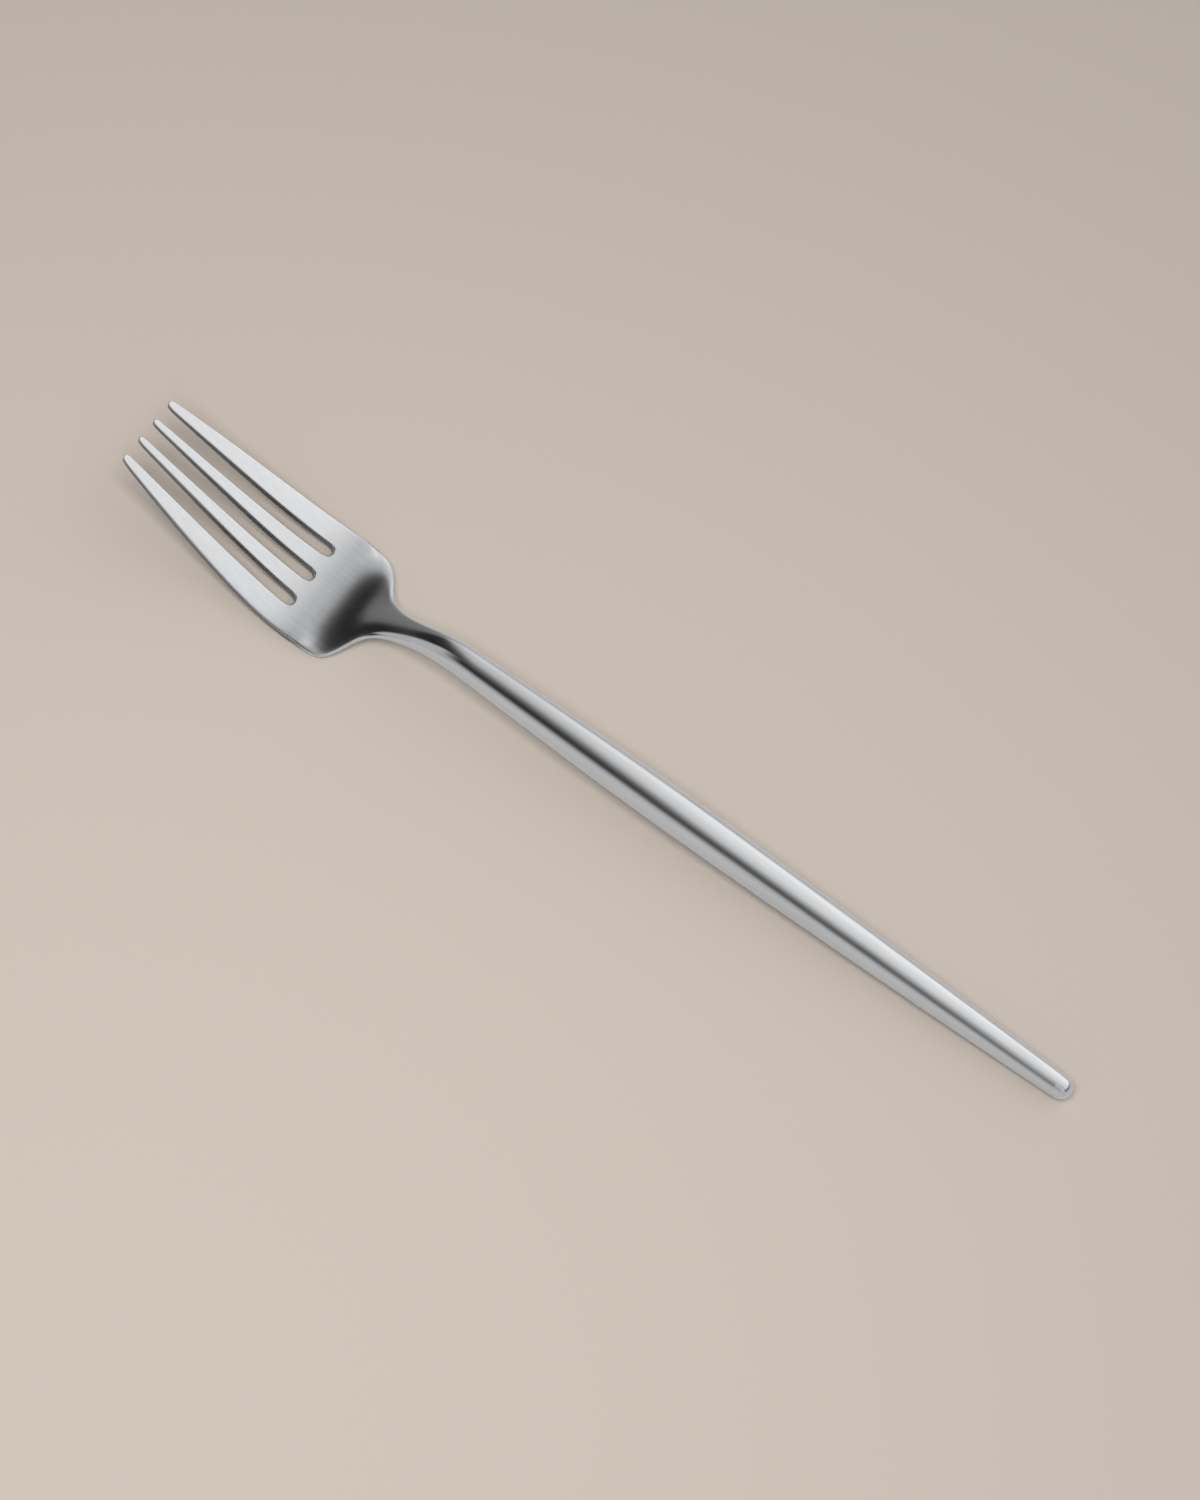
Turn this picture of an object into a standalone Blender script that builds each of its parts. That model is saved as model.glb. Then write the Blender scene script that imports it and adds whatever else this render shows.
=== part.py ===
"""Salad fork: a forged four-tine head, with its tang bedded in a round hollow handle that has an end plug.

Every piece is modelled along the handle's axis, at a distance "along" from the tine tips, in millimetres.
An empty then tips the axis so that the heel and the handle's end rest on the table, z = 0.
"""
import math

import bmesh
import bpy

MM = 0.001

# Driving sizes of the whole fork, in millimetres
OVERALL_LENGTH = 180.0
CLEARANCE = 0.3

# Tines and the slots between them
TINE_COUNT = 4
OUTER_TINE_AT_TIPS = 1.3
INNER_TINE_AT_TIPS = 1.05
OUTER_TINE_AT_ROOTS = 4.3
INNER_TINE_AT_ROOTS = 3.1
TINE_THICKNESS = 1.6
TIP_THICKNESS = 1.0
TIP_THINNING_LENGTH = 20.0
TIP_ROUNDING = 1.5
TIP_BLUNTNESS = 0.4
EDGE_BREAK = 0.25
SLOT_LENGTH = 34.4
SLOT_WIDTH_AT_TIPS = 3.0
SLOT_WIDTH_AT_ROOTS = 2.5

# Bowl, heel and neck
WIDEST_PAST_SLOTS = 1.6
SIDE_CURVE_POWER = 1.42
HEEL_PAST_SLOTS = 2.6
HEEL_DROP = 7.4
HEEL_FLAT = 3.0
HEEL_BEND_LENGTH = 9.5
NECK_BEND_LENGTH = 12.0
TIP_RISE = 8.8
TINE_BEND_SOFTNESS = 13.0
THICKENING_PAST_HEEL = 2.5
THICK_PAST_NECK = 4.0
ROUND_PAST_HEEL = 7.2
SHOULDER_PAST_SLOTS = 10.8
SHOULDER_SOFTNESS = 1.0
NECK_PAST_SHOULDER = 9.8
NECK_DIAMETER = 4.7
NECK_FLARE = 1.6
JOINT_PAST_NECK = 9.0

# Round handle and what is inside it
BELLY_PAST_JOINT = 40.0
BELLY_DIAMETER = 6.8
SWELL_POWER = 1.25
END_DIAMETER = 3.9
TAPER_POWER = 1.54
TUBE_WALL = 0.8
BEDDING_WALL = 0.25
TANG_LENGTH = 22.0
TANG_POINT = 2.0
PLUG_BAND = 1.0
SPIGOT_LENGTH = 8.0

# Fineness of the facets
TINE_ROWS = 14
BOWL_ROWS = 20
TUBE_ROWS = 22
ARC_ROWS = 4
TINE_TOP_POINTS = 3

# Places along the axis, measured from the tine tips
WIDEST_AT = SLOT_LENGTH + WIDEST_PAST_SLOTS
HEEL_AT = SLOT_LENGTH + HEEL_PAST_SLOTS
SHOULDER_AT = SLOT_LENGTH + SHOULDER_PAST_SLOTS
ROUND_AT = HEEL_AT + ROUND_PAST_HEEL
NECK_AT = SHOULDER_AT + NECK_PAST_SHOULDER
THICK_AT = NECK_AT + THICK_PAST_NECK
JOINT_AT = NECK_AT + JOINT_PAST_NECK
BELLY_AT = JOINT_AT + BELLY_PAST_JOINT
DOME_RADIUS = END_DIAMETER / 2
DOME_CENTRE = OVERALL_LENGTH - DOME_RADIUS
PLUG_FACE = DOME_CENTRE - PLUG_BAND
TUBE_START = JOINT_AT + CLEARANCE
TUBE_END = PLUG_FACE - CLEARANCE

STEEL = (0.60, 0.60, 0.59, 1.0)
BEDDING_GREY = (0.24, 0.23, 0.21, 1.0)


def ease(share):
    """Rise smoothly from 0 to 1 as share goes from 0 to 1."""
    share = min(max(share, 0.0), 1.0)
    return share ** 2 * (3.0 - 2.0 * share)


def bend_rise(along, start, length):
    """Height gained along a smooth bend from level to a slope of 1, and straight on from there."""
    turned = min(max((along - start) / length, 0.0), 1.0)
    beyond = max(along - start - length, 0.0)
    return length * (turned ** 3 - turned ** 4 / 2) + beyond


def spaced(start, end, steps):
    """Evenly spaced places from start to end, both included."""
    return [start + (end - start) * step / steps for step in range(steps + 1)]


# Side and plan shapes

def handle_radius(along):
    """Radius of the neck and handle: slim at the neck, fullest at the belly, slim at the end."""
    neck = NECK_DIAMETER / 2
    belly = BELLY_DIAMETER / 2
    if along <= NECK_AT:
        return neck
    if along <= BELLY_AT:
        swell = math.sin(math.pi / 2 * (along - NECK_AT) / (BELLY_AT - NECK_AT))
        return neck + (belly - neck) * swell ** SWELL_POWER
    taper = (along - BELLY_AT) / (OVERALL_LENGTH - BELLY_AT)
    return belly - (belly - DOME_RADIUS) * taper ** TAPER_POWER


def bore_radius(along):
    """Radius of the hollow handle's bore, one wall inside the handle."""
    return handle_radius(along) - TUBE_WALL


def width_over_tines(outer_tine, inner_tine, slot_width):
    """Width over all the tines and the slots between them."""
    return 2 * outer_tine + (TINE_COUNT - 2) * inner_tine + (TINE_COUNT - 1) * slot_width


TIP_SPREAD = width_over_tines(OUTER_TINE_AT_TIPS, INNER_TINE_AT_TIPS, SLOT_WIDTH_AT_TIPS)
HEAD_WIDTH = width_over_tines(OUTER_TINE_AT_ROOTS, INNER_TINE_AT_ROOTS, SLOT_WIDTH_AT_ROOTS)


def half_width(along):
    """Half the head's width in plan: spreading tines, soft shoulders, then a flared neck."""
    spread = 1.0 - (1.0 - min(along / WIDEST_AT, 1.0)) ** SIDE_CURVE_POWER
    tines = (TIP_SPREAD + (HEAD_WIDTH - TIP_SPREAD) * spread) / 2
    flare = max((NECK_AT - along) / (NECK_AT - SHOULDER_AT), 0.0)
    neck = handle_radius(along) + NECK_FLARE * flare ** 2
    return neck + (tines - neck) / (1.0 + math.exp((along - SHOULDER_AT) / SHOULDER_SOFTNESS))


def half_thickness(along):
    """Half the head's thickness: thin tips, even tines, then thickening into the neck."""
    taper = math.sin(math.pi / 2 * min(along / TIP_THINNING_LENGTH, 1.0))
    tine = (TIP_THICKNESS + (TINE_THICKNESS - TIP_THICKNESS) * taper) / 2
    start = HEEL_AT + THICKENING_PAST_HEEL
    return tine + (handle_radius(along) - tine) * ease((along - start) / (THICK_AT - start))


def mid_height(along):
    """Height of the head's middle above the handle's axis: up at the tips, lowest at the heel."""
    if along > HEEL_AT:
        climb = bend_rise(along, HEEL_AT, HEEL_BEND_LENGTH)
        climb -= bend_rise(along, JOINT_AT - NECK_BEND_LENGTH, NECK_BEND_LENGTH)
        full_climb = JOINT_AT - HEEL_AT - (HEEL_BEND_LENGTH + NECK_BEND_LENGTH) / 2
        return HEEL_DROP * (climb / full_climb - 1.0)
    bend = math.hypot(HEEL_AT - along, TINE_BEND_SOFTNESS) - TINE_BEND_SOFTNESS
    full_bend = math.hypot(HEEL_AT, TINE_BEND_SOFTNESS) - TINE_BEND_SOFTNESS
    return TIP_RISE * bend / full_bend - HEEL_DROP


def slot_centre(slot, along):
    """Sideways place of a slot's centre line; the slots fan out towards the bowl."""
    pitch_at_tips = INNER_TINE_AT_TIPS + SLOT_WIDTH_AT_TIPS
    pitch_at_roots = INNER_TINE_AT_ROOTS + SLOT_WIDTH_AT_ROOTS
    pitch = pitch_at_tips + (pitch_at_roots - pitch_at_tips) * along / SLOT_LENGTH
    return (slot - (TINE_COUNT - 2) / 2) * pitch


def slot_half_width(along):
    """Half a slot's width: narrowing towards a round root that closes at the slot's length."""
    radius = SLOT_WIDTH_AT_ROOTS / 2
    root_centre = SLOT_LENGTH - radius
    if along > root_centre:
        return math.sqrt(max(radius ** 2 - (along - root_centre) ** 2, 0.0))
    share = along / root_centre
    return (SLOT_WIDTH_AT_TIPS + (SLOT_WIDTH_AT_ROOTS - SLOT_WIDTH_AT_TIPS) * share) / 2


# How the fork lies on the table

def dome_profile():
    """The handle's round end, from its widest place to just short of its middle."""
    angles = spaced(0.0, math.radians(80), 2 * ARC_ROWS)
    return [(DOME_CENTRE + DOME_RADIUS * math.sin(angle), DOME_RADIUS * math.cos(angle)) for angle in angles]


def tube_places():
    """Places of the tube's sections."""
    return spaced(TUBE_START, TUBE_END, TUBE_ROWS)


HANDLE_PROFILE = [(along, handle_radius(along)) for along in tube_places()] + dome_profile()


def table_height(along, tilt):
    """Height of the table under the handle's axis, for a table that just touches the handle's underside."""
    slope = math.tan(tilt)
    return min(-radius - place * slope for place, radius in HANDLE_PROFILE) + along * slope


def heel_gap(along, tilt):
    """Room between the head's underside and the table."""
    return mid_height(along) - half_thickness(along) - table_height(along, tilt)


def find_rest():
    """Tilt of the axis at which the heel just touches the table, and where it touches."""
    places = spaced(SLOT_LENGTH, NECK_AT, 200)
    low, high = 0.0, 0.3
    for _ in range(40):
        tilt = (low + high) / 2
        touch = min(places, key=lambda along: heel_gap(along, tilt))
        if heel_gap(touch, tilt) < 0.0:
            low = tilt
        else:
            high = tilt
    return tilt, touch


REST_TILT, HEEL_TOUCH = find_rest()
HEEL_FLAT_ENDS = (HEEL_TOUCH - HEEL_FLAT / 2, HEEL_TOUCH + HEEL_FLAT / 2)


def underside(along):
    """Height of the head's underside; the heel has a small flat that lies on the table."""
    if HEEL_FLAT_ENDS[0] <= along <= HEEL_FLAT_ENDS[1]:
        return table_height(along, REST_TILT)
    return mid_height(along) - half_thickness(along)


# Mesh helpers

def add_ring(mesh, along, points):
    """A ring of vertices across the axis at one place along it; points are (sideways, up)."""
    return [mesh.verts.new((along * MM, side * MM, up * MM)) for side, up in points]


def skin(mesh, first, second):
    """Faces between two rings with equally many vertices."""
    count = len(first)
    for index in range(count):
        following = (index + 1) % count
        mesh.faces.new((first[index], first[following], second[following], second[index]))


def loft(mesh, rings):
    """Faces between each ring and the next."""
    for first, second in zip(rings, rings[1:]):
        skin(mesh, first, second)


def circle(radius):
    """Points of a round section that has as many corners as the bowl's section."""
    step = 2 * math.pi / RING_POINTS
    angles = [step * (index + 0.5) for index in range(RING_POINTS)]
    return [(radius * math.cos(angle), radius * math.sin(angle)) for angle in angles]


def turned(mesh, profile):
    """A closed piece turned about the axis from (along, radius) points, capped at both ends."""
    rings = [add_ring(mesh, along, circle(radius)) for along, radius in profile]
    loft(mesh, rings)
    mesh.faces.new(rings[0])
    mesh.faces.new(rings[-1])


def turned_ring(mesh, profile):
    """A closed ring turned about the axis from a closed loop of (along, radius) points."""
    rings = [add_ring(mesh, along, circle(radius)) for along, radius in profile]
    loft(mesh, rings + rings[:1])


def make_finish(name, colour, roughness, metallic):
    material = bpy.data.materials.new(name)
    material.use_nodes = True
    shader = material.node_tree.nodes["Principled BSDF"]
    shader.inputs["Base Color"].default_value = colour
    shader.inputs["Roughness"].default_value = roughness
    shader.inputs["Metallic"].default_value = metallic
    return material


def steel_finish(name):
    """Polished stainless steel."""
    return make_finish(name, STEEL, roughness=0.22, metallic=1.0)


def make_piece(name, mesh, material, parent):
    """Close the mesh, point its faces outwards and hang it on the handle's axis."""
    bmesh.ops.remove_doubles(mesh, verts=mesh.verts, dist=0.001 * MM)
    bmesh.ops.recalc_face_normals(mesh, faces=mesh.faces)
    data = bpy.data.meshes.new(name)
    mesh.to_mesh(data)
    mesh.free()
    data.materials.append(material)
    data.shade_smooth()
    data.set_sharp_from_angle(angle=math.radians(35))
    piece = bpy.data.objects.new(name, data)
    piece.parent = parent
    bpy.context.collection.objects.link(piece)
    return piece


# The forged head

# Across the bowl's top: the points of each tine, and one more where each slot ended
TOP_POINTS = TINE_COUNT * TINE_TOP_POINTS + TINE_COUNT - 1
RING_POINTS = 2 * TOP_POINTS + 4
SLOT_ROOT_STRIDE = TINE_TOP_POINTS + 1
TANG_RADIUS = bore_radius(TUBE_START) - BEDDING_WALL - 2 * CLEARANCE


def tine_edges(tine, along):
    """The two sides of a tine, drawn in towards its middle at the rounded tip."""
    left = -half_width(along)
    right = half_width(along)
    if tine > 0:
        left = slot_centre(tine - 1, along) + slot_half_width(along)
    if tine < TINE_COUNT - 1:
        right = slot_centre(tine, along) - slot_half_width(along)
    middle = (left + right) / 2
    inset = 1.0 - min(along / TIP_ROUNDING, 1.0)
    half = (right - left) / 2 * (TIP_BLUNTNESS + (1.0 - TIP_BLUNTNESS) * math.sqrt(1.0 - inset ** 2))
    return middle - half, middle + half


def edge_break(along, left, right):
    """Size of the broken edge, limited by the tine's own thickness and width."""
    return min(EDGE_BREAK, 0.4 * half_thickness(along), 0.3 * (right - left))


def tine_section(tine, along):
    """Section of one tine, round from its top right corner: (sideways, up) points."""
    left, right = tine_edges(tine, along)
    broken = edge_break(along, left, right)
    top = mid_height(along) + half_thickness(along)
    bottom = underside(along)
    across = spaced(right - broken, left + broken, TINE_TOP_POINTS - 1)
    upper = [(side, top) for side in across]
    lower = [(side, bottom) for side in reversed(across)]
    left_wall = [(left, top - broken), (left, bottom + broken)]
    right_wall = [(right, bottom + broken), (right, top - broken)]
    return upper + left_wall + lower + right_wall


def crowned_section(along):
    """Section with rolled edges, 1 wide and tall: nearly square at the heel, round by the shoulders."""
    roundness = ease((along - HEEL_AT) / (ROUND_AT - HEEL_AT))
    power = 2.0 / max(roundness, 0.1)
    points = []
    for side, up in circle(1.0):
        reach = (abs(side) ** power + abs(up) ** power) ** (1.0 / power)
        points.append((side / reach, up / reach))
    return points


def bowl_section(along, slot_notch):
    """Section of the bowl and neck: flat at the slots' roots, then crowned, round at the handle."""
    width = half_width(along)
    top = mid_height(along) + half_thickness(along)
    bottom = underside(along)
    broken = min(EDGE_BREAK, 0.4 * half_thickness(along))
    root_width = half_width(SLOT_LENGTH)
    upper_sides = []
    for tine in reversed(range(TINE_COUNT)):
        left, right = tine_edges(tine, SLOT_LENGTH)
        root_break = edge_break(SLOT_LENGTH, left, right)
        upper_sides += spaced(right - root_break, left + root_break, TINE_TOP_POINTS - 1)
        upper_sides += [left] if tine > 0 else []
    upper_sides = [side * width / root_width for side in upper_sides]
    notches = range(TINE_TOP_POINTS, TOP_POINTS, SLOT_ROOT_STRIDE)
    depth = [slot_notch if index in notches else 0.0 for index in range(TOP_POINTS)]
    upper = [(side, top - notch) for side, notch in zip(upper_sides, depth)]
    lower = [(side, bottom + notch) for side, notch in zip(upper_sides, depth)]
    left_wall = [(-width, top - broken), (-width, bottom + broken)]
    right_wall = [(width, bottom + broken), (width, top - broken)]
    flat = right_wall[1:] + upper + left_wall + lower[::-1] + right_wall[:1]
    middle = (top + bottom) / 2
    tall = (top - bottom) / 2
    rounded = [(width * side, middle + tall * up) for side, up in crowned_section(along)]
    round_from = HEEL_FLAT_ENDS[1]
    share = ease((along - round_from) / (SHOULDER_AT - round_from))
    return [
        (flat_side + (round_side - flat_side) * share, flat_up + (round_up - flat_up) * share)
        for (flat_side, flat_up), (round_side, round_up) in zip(flat, rounded)
    ]


def tine_places():
    """Places of a tine's sections: close together round the tip and round the slot's root."""
    radius = SLOT_WIDTH_AT_ROOTS / 2
    root_centre = SLOT_LENGTH - radius
    quarter = spaced(0.0, math.pi / 2, ARC_ROWS)
    tip = [TIP_ROUNDING * (1.0 - math.cos(angle)) for angle in quarter]
    shank = spaced(TIP_ROUNDING, root_centre, TINE_ROWS)[1:-1]
    root = [root_centre + radius * math.sin(angle) for angle in quarter]
    return tip + shank + root


def bowl_places():
    """Places of the bowl's sections, with the heel's flat kept clear between its two ends."""
    flat_start, flat_end = HEEL_FLAT_ENDS
    before = spaced(SLOT_LENGTH + EDGE_BREAK, flat_start, 2)
    after = spaced(flat_end, JOINT_AT, BOWL_ROWS)
    return [SLOT_LENGTH] + before + after


def make_head(parent):
    """Four tines that run into one bowl, its heel and neck, and the tang behind the joint."""
    mesh = bmesh.new()
    for tine in range(TINE_COUNT):
        rings = [add_ring(mesh, along, tine_section(tine, along)) for along in tine_places()]
        loft(mesh, rings)
        mesh.faces.new(rings[0])
    left, right = tine_edges(1, SLOT_LENGTH)
    root_notch = edge_break(SLOT_LENGTH, left, right)
    rings = []
    for along in bowl_places():
        notch = root_notch if along == SLOT_LENGTH else 0.0
        rings.append(add_ring(mesh, along, bowl_section(along, notch)))
    tang_end = JOINT_AT + TANG_LENGTH
    tang = ((JOINT_AT, TANG_RADIUS), (tang_end - TANG_POINT, TANG_RADIUS), (tang_end, TANG_RADIUS / 2))
    rings += [add_ring(mesh, along, circle(radius)) for along, radius in tang]
    loft(mesh, rings)
    mesh.faces.new(rings[-1])
    return make_piece("fork_head", mesh, steel_finish("forged_steel"), parent)


# The hollow handle, its bedding and its end plug

def make_tube(parent):
    """Swaged tube, open at both ends, with an even wall."""
    mesh = bmesh.new()
    outside = [(along, handle_radius(along)) for along in tube_places()]
    inside = [(along, bore_radius(along)) for along in reversed(tube_places())]
    turned_ring(mesh, outside + inside)
    return make_piece("handle_tube", mesh, steel_finish("drawn_tube_steel"), parent)


def make_bedding(parent):
    """Resin that holds the tang in the tube's mouth."""
    mesh = bmesh.new()
    places = spaced(TUBE_START, JOINT_AT + TANG_LENGTH - TANG_POINT, ARC_ROWS)
    inside = TANG_RADIUS + CLEARANCE
    outside = [(along, bore_radius(along) - CLEARANCE) for along in places]
    turned_ring(mesh, outside + [(places[-1], inside), (places[0], inside)])
    finish = make_finish("bedding_resin", BEDDING_GREY, roughness=0.7, metallic=0.0)
    return make_piece("tang_bedding", mesh, finish, parent)


def make_plug(parent):
    """Rounded end of the handle, on a spigot that sits in the tube's bore."""
    mesh = bmesh.new()
    spigot = bore_radius(TUBE_END) - CLEARANCE
    shoulder = [(PLUG_FACE, spigot), (PLUG_FACE, handle_radius(PLUG_FACE))]
    turned(mesh, [(PLUG_FACE - SPIGOT_LENGTH, spigot)] + shoulder + dome_profile())
    return make_piece("end_plug", mesh, steel_finish("plug_steel"), parent)


def make_axis():
    """The handle's axis, tipped to its rest on the table and centred over the origin."""
    tip_x = underside(0.0) * math.sin(REST_TILT)
    end_x = DOME_CENTRE * math.cos(REST_TILT) + DOME_RADIUS
    axis = bpy.data.objects.new("handle_axis", None)
    axis.rotation_euler = (0.0, REST_TILT, 0.0)
    lift = -table_height(0.0, REST_TILT) * math.cos(REST_TILT)
    axis.location = (-(tip_x + end_x) / 2 * MM, 0.0, lift * MM)
    bpy.context.collection.objects.link(axis)
    return axis


def main():
    for old in list(bpy.data.objects):
        bpy.data.objects.remove(old, do_unlink=True)
    axis = make_axis()
    make_head(axis)
    make_tube(axis)
    make_bedding(axis)
    make_plug(axis)
    bpy.context.view_layer.update()


main()
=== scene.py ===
# %% [markdown]
# # A salad fork in stainless steel
# This lesson dresses the imported model of a salad fork: a forged head with four tines, a slim hollow
# handle and the plug that closes it. The imported model gives the fork's size and place, so it is loaded
# first and never moved. The box round it is kept, and the table is laid at its lowest point.

# %% Load the imported fork
import math

import bmesh
import bpy
from mathutils import Matrix, Vector


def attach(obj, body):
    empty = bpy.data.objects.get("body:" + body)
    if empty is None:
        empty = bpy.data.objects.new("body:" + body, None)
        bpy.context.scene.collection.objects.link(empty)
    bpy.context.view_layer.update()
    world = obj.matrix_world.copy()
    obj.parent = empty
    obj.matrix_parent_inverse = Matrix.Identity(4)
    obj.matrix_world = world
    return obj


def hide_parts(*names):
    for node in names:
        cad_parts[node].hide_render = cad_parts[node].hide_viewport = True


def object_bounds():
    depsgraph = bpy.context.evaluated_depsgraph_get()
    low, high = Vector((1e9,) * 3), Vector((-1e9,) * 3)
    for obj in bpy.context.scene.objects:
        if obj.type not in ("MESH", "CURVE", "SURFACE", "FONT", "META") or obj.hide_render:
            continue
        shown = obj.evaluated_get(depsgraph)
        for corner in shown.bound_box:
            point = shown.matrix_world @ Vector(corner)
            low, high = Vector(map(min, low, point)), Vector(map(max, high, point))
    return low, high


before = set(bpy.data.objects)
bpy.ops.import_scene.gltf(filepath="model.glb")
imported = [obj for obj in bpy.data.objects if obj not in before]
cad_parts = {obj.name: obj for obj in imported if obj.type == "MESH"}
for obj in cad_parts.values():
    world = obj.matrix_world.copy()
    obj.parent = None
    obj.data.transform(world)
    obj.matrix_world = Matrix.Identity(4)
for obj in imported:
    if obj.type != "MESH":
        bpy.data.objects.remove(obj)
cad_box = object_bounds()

MM = 0.001
print("nodes:", sorted(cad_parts))
print("box in mm:", [[round(value / MM, 2) for value in corner] for corner in cad_box])

# %% [markdown]
# ## The handle's axis
# The fork lies on its heel and on the end of its handle, so its handle slopes by a few degrees. Everything
# on it is easier to model along the handle, with x as the distance from the tine tips, and to lay down
# afterwards. The slope isn't typed in: the middles of the hollow handle's two ends give the axis, and a
# matrix made from them carries each finished mesh to its place.

# %% Measure the axis
JOINT_AT = 64.0
CLEARANCE = 0.3


def end_middle(node, at_high_end):
    """Middle of the corners within 1 mm of a node's low or high end along x, in metres."""
    corners = [vertex.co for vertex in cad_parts[node].data.vertices]
    reach = [corner.x for corner in corners]
    edge = max(reach) if at_high_end else min(reach)
    ring = [corner for corner in corners if abs(corner.x - edge) < MM]
    low = [min(corner[axis] for corner in ring) for axis in range(3)]
    high = [max(corner[axis] for corner in ring) for axis in range(3)]
    return (Vector(low) + Vector(high)) / 2


tube_mouth = end_middle("handle_tube", at_high_end=False)
tube_end = end_middle("handle_tube", at_high_end=True)
along_axis = (tube_end - tube_mouth).normalized()
across_axis = Vector((0.0, 1.0, 0.0))
above_axis = along_axis.cross(across_axis)
tip_point = tube_mouth - along_axis * (JOINT_AT + CLEARANCE) * MM
axis_frame = Matrix((along_axis, across_axis, above_axis)).transposed().to_4x4()
axis_frame.translation = tip_point
handle_slope = math.asin(-along_axis.z)
print("handle slopes by", round(math.degrees(handle_slope), 2), "degrees")

# %% [markdown]
# ## The camera
# The photograph looks down on the fork from its side, 62 degrees above the handle's axis, with the tines
# at the upper left. A camera can be aimed with a constraint, but a rolled view is clearer as three arrows:
# one to the right of the picture, one up it and one back to the camera. The picture counts as 1200 by 1500
# pixels.

# %% Place the camera
PICTURE_WIDTH, PICTURE_HEIGHT = 1200, 1500
VIEW_ELEVATION = math.radians(62.0)
VIEW_ROLL = math.radians(35.5)
VIEW_DISTANCE = 585.0
NEAREST_SEEN = 10.0
MM_PER_PIXEL = 0.1583
AIM_ALONG = 90.0
AIM_PIXEL = (607.8, 764.0)
SENSOR = 36.0

turn = axis_frame.to_3x3()
level_up = turn @ Vector((0.0, math.sin(VIEW_ELEVATION), math.cos(VIEW_ELEVATION)))
back = turn @ Vector((0.0, -math.cos(VIEW_ELEVATION), math.sin(VIEW_ELEVATION)))
right = along_axis * math.cos(VIEW_ROLL) + level_up * math.sin(VIEW_ROLL)
up = level_up * math.cos(VIEW_ROLL) - along_axis * math.sin(VIEW_ROLL)

aim = axis_frame @ Vector((AIM_ALONG * MM, 0.0, 0.0))
aim += right * (PICTURE_WIDTH / 2 - AIM_PIXEL[0]) * MM_PER_PIXEL * MM
aim += up * (AIM_PIXEL[1] - PICTURE_HEIGHT / 2) * MM_PER_PIXEL * MM

bpy.ops.object.select_all(action="DESELECT")
bpy.ops.object.camera_add()
camera = bpy.context.object
camera.name = "camera"
camera.matrix_world = Matrix((right, up, back)).transposed().to_4x4()
camera.location = aim + back * VIEW_DISTANCE * MM
camera.data.sensor_width = SENSOR
camera.data.lens = SENSOR * VIEW_DISTANCE / (PICTURE_HEIGHT * MM_PER_PIXEL)
camera.data.clip_start = NEAREST_SEEN * MM
bpy.context.scene.camera = camera
print("lens:", round(camera.data.lens, 1), "mm")

# %% [markdown]
# ## The fork's side and plan
# A fork is drawn as two views. The plan gives the widths: tines that spread, soft shoulders and a slim
# neck. The side view gives the heights: tips up, a low heel and a neck that climbs to the handle. Curves
# could be traced for both, but a formula for each has no bumps, and polished steel shows every bump. All
# sizes are millimetres, places are measured from the tine tips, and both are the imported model's own.

# %% Sizes of the fork
OVERALL_LENGTH = 180.0
TINE_COUNT = 4
OUTER_TINE_AT_TIPS, INNER_TINE_AT_TIPS = 1.3, 1.05
OUTER_TINE_AT_ROOTS, INNER_TINE_AT_ROOTS = 4.3, 3.1
SLOT_WIDTH_AT_TIPS, SLOT_WIDTH_AT_ROOTS = 3.0, 2.5
SLOT_LENGTH = 34.4
SLOT_RADIUS = SLOT_WIDTH_AT_ROOTS / 2
ROOT_CENTRE = SLOT_LENGTH - SLOT_RADIUS
WIDEST_AT, HEEL_AT, SHOULDER_AT, NECK_AT, BELLY_AT = 36.0, 37.0, 45.2, 55.0, 104.0
NECK_RADIUS, BELLY_RADIUS, END_RADIUS = 2.35, 3.4, 1.95


def width_over_tines(outer_tine, inner_tine, slot_width):
    return 2 * outer_tine + (TINE_COUNT - 2) * inner_tine + (TINE_COUNT - 1) * slot_width


TIP_SPREAD = width_over_tines(OUTER_TINE_AT_TIPS, INNER_TINE_AT_TIPS, SLOT_WIDTH_AT_TIPS)
HEAD_WIDTH = width_over_tines(OUTER_TINE_AT_ROOTS, INNER_TINE_AT_ROOTS, SLOT_WIDTH_AT_ROOTS)
print("head is", round(HEAD_WIDTH, 1), "mm wide, tips", round(TIP_SPREAD, 1), "mm")

# %% Widths in plan
SIDE_CURVE_POWER, SHOULDER_SOFTNESS, NECK_FLARE = 1.42, 1.0, 1.6
SWELL_POWER, TAPER_POWER = 1.25, 1.54


def clamped(share):
    return min(max(share, 0.0), 1.0)


def handle_radius(along):
    """Radius of the neck and handle: slim, then a belly, then slim again."""
    if along <= NECK_AT:
        return NECK_RADIUS
    if along <= BELLY_AT:
        swell = math.sin(math.pi / 2 * (along - NECK_AT) / (BELLY_AT - NECK_AT))
        return NECK_RADIUS + (BELLY_RADIUS - NECK_RADIUS) * swell ** SWELL_POWER
    taper = (along - BELLY_AT) / (OVERALL_LENGTH - BELLY_AT)
    return BELLY_RADIUS - (BELLY_RADIUS - END_RADIUS) * taper ** TAPER_POWER


def half_width(along):
    """Half the head's width: spreading tines, soft shoulders, then a flared neck."""
    spread = 1.0 - (1.0 - clamped(along / WIDEST_AT)) ** SIDE_CURVE_POWER
    tines = (TIP_SPREAD + (HEAD_WIDTH - TIP_SPREAD) * spread) / 2
    flare = max((NECK_AT - along) / (NECK_AT - SHOULDER_AT), 0.0)
    neck = handle_radius(along) + NECK_FLARE * flare ** 2
    return neck + (tines - neck) / (1.0 + math.exp((along - SHOULDER_AT) / SHOULDER_SOFTNESS))


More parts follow.
